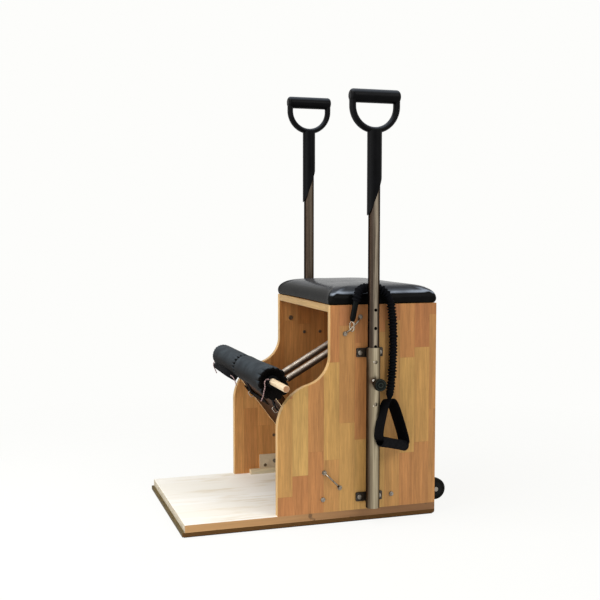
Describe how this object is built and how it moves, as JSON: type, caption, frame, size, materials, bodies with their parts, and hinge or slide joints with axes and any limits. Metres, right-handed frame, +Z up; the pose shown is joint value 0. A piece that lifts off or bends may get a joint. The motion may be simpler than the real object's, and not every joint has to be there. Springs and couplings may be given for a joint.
{
  "type": "pilates chair",
  "caption": "Wooden pilates chair with a padded seat box on a long base, split sprung foot pedals with padded rollers, sliding hand poles and a clip-on resistance cord",
  "frame": {"origin": "middle of the underside of the anti-slip mat, on the floor", "axes": "+X to the chair's right side as seen from the front, +Y to the rear, +Z up"},
  "size_m": [0.7423, 0.7975, 1.237],
  "materials": {
    "mat_rubber": "fine ribbed matt rubber",
    "underlay_board": "plain brown board edge",
    "white_board": "cream white satin laminate with faint planks",
    "pale_wood": "raw pale wood",
    "panel_wood": "finger-jointed staves under clear satin lacquer",
    "plywood": "raw plywood",
    "pedal_wood": "dark brown stained board",
    "dowel_wood": "pale sanded dowel",
    "black_vinyl": "black upholstery vinyl with a soft sheen",
    "roller_cloth": "charcoal stretch cloth gathered over foam",
    "black_webbing": "woven webbing",
    "cord_sleeve": "ruched cloth sleeve over a rubber cord",
    "drawstring_cord": "thin twisted string",
    "black_rubber": "moulded rubber",
    "wheel_rubber": "solid rubber",
    "core_plastic": "extruded tube",
    "grip_plastic": "fine-grained moulding",
    "hub_plastic": "moulding",
    "plain_steel": "zinc-plated steel",
    "dark_steel": "dark plated steel",
    "spring_steel": "bright nickel-plated wire",
    "stainless": "polished stainless tube"
  },
  "bodies": {
    "frame": {"anti_slip_mat": "mat_rubber", "back_panel": "panel_wood", "base_board": "white_board", "base_cleats": "pale_wood", "base_underlay": "underlay_board", "bracket_bolts": "dark_steel", "cord_ferrule": "black_rubber", "cord_hand_grip": "black_rubber", "cord_hand_strap": "black_webbing", "cord_hook": "plain_steel", "cord_tail": "cord_sleeve", "cushion_board": "plywood", "left_side_panel": "panel_wood", "left_sleeve": "stainless", "panel_bolts": "dark_steel", "pivot_axle": "plain_steel", "pivot_plates": "plain_steel", "plunger_barrels": "plain_steel", "resistance_cord": "cord_sleeve", "right_side_panel": "panel_wood", "right_sleeve": "stainless", "rope_eyes": "plain_steel", "seat_cushion": "black_vinyl", "sleeve_brackets": "dark_steel", "spring_rail": "plain_steel", "top_board": "panel_wood", "wheel_brackets": "dark_steel"},
    "right_pole": {"right_pole": "stainless", "right_hand_grip": "grip_plastic"},
    "left_pole": {"left_pole": "stainless", "left_hand_grip": "grip_plastic"},
    "right_plunger": {"right_plunger_knob": "grip_plastic", "right_plunger_pin": "plain_steel"},
    "left_plunger": {"left_plunger_knob": "grip_plastic", "left_plunger_pin": "plain_steel"},
    "right_pedal": {"right_pedal_board": "pedal_wood", "right_pedal_hinge": "plain_steel", "right_pedal_core": "core_plastic", "right_pedal_roller": "roller_cloth", "right_pedal_strap": "black_webbing", "right_spring_eye": "plain_steel", "right_drawstring": "drawstring_cord"},
    "left_pedal": {"left_pedal_board": "pedal_wood", "left_pedal_hinge": "plain_steel", "left_pedal_core": "core_plastic", "left_pedal_roller": "roller_cloth", "left_pedal_strap": "black_webbing", "left_spring_eye": "plain_steel", "left_drawstring": "drawstring_cord", "left_end_drawstring": "drawstring_cord"},
    "dowel": {"pedal_dowel": "dowel_wood"},
    "right_spring": {"right_spring_coil": "spring_steel"},
    "left_spring": {"left_spring_coil": "spring_steel"},
    "right_link": {"right_spring_link": "plain_steel"},
    "left_link": {"left_spring_link": "plain_steel"},
    "right_wheel": {"right_wheel_hub": "hub_plastic", "right_wheel_tyre": "wheel_rubber"},
    "left_wheel": {"left_wheel_hub": "hub_plastic", "left_wheel_tyre": "wheel_rubber"}
  },
  "joints": [
    {"name": "right_pole_slide", "type": "slide", "parent": "frame", "child": "right_pole", "axis": [0, 0, 1], "range_m": [-0.2, 0.1]},
    {"name": "right_plunger_pull", "type": "slide", "parent": "frame", "child": "right_plunger", "axis": [1, 0, 0], "range_m": [0, 0.008], "stiffness_N_per_m": 800, "springref_m": -0.004},
    {"name": "right_pedal_hinge", "type": "hinge", "parent": "frame", "child": "right_pedal", "pos_m": [0, 0.12848, 0.07], "axis": [1, 0, 0], "range_deg": [0, 42], "stiffness_Nm_per_rad": 80, "springref_deg": -14.32},
    {"name": "right_spring_swing", "type": "hinge", "parent": "frame", "child": "right_spring", "pos_m": [0.039, 0.322, 0.566], "axis": [1, 0, 0], "range_deg": [0, 8.48]},
    {"name": "right_spring_stretch", "type": "slide", "parent": "right_spring", "child": "right_link", "axis": [0, -0.868, -0.4966], "range_m": [0, 0.232], "deforming": ["right_spring_coil"]},
    {"name": "right_wheel_spin", "type": "hinge", "parent": "frame", "child": "right_wheel", "pos_m": [0.172, 0.401, 0.051], "axis": [1, 0, 0], "continuous": true},
    {"name": "left_pole_slide", "type": "slide", "parent": "frame", "child": "left_pole", "axis": [0, 0, 1], "range_m": [-0.25, 0.05]},
    {"name": "left_plunger_pull", "type": "slide", "parent": "frame", "child": "left_plunger", "axis": [-1, 0, 0], "range_m": [0, 0.008], "stiffness_N_per_m": 800, "springref_m": -0.004},
    {"name": "left_pedal_hinge", "type": "hinge", "parent": "frame", "child": "left_pedal", "pos_m": [0, 0.12848, 0.07], "axis": [1, 0, 0], "range_deg": [0, 42], "stiffness_Nm_per_rad": 80, "springref_deg": -14.32},
    {"name": "left_spring_swing", "type": "hinge", "parent": "frame", "child": "left_spring", "pos_m": [-0.039, 0.322, 0.566], "axis": [1, 0, 0], "range_deg": [0, 8.48]},
    {"name": "left_spring_stretch", "type": "slide", "parent": "left_spring", "child": "left_link", "axis": [0, -0.868, -0.4966], "range_m": [0, 0.232], "deforming": ["left_spring_coil"]},
    {"name": "left_wheel_spin", "type": "hinge", "parent": "frame", "child": "left_wheel", "pos_m": [-0.172, 0.401, 0.051], "axis": [1, 0, 0], "continuous": true},
    {"name": "dowel_slide", "type": "slide", "parent": "right_pedal", "child": "dowel", "axis": [1, 0, 0], "range_m": [0, 0.16]}
  ],
  "couplings": [
    {"joint": "left_pedal_hinge", "follows": "right_pedal_hinge", "ratio": 1},
    {"joint": "right_spring_swing", "follows": "right_pedal_hinge", "ratio": 0.19},
    {"joint": "right_spring_stretch", "follows": "right_pedal_hinge", "m_per_rad": 0.311},
    {"joint": "left_spring_swing", "follows": "right_pedal_hinge", "ratio": 0.19},
    {"joint": "left_spring_stretch", "follows": "right_pedal_hinge", "m_per_rad": 0.311}
  ]
}
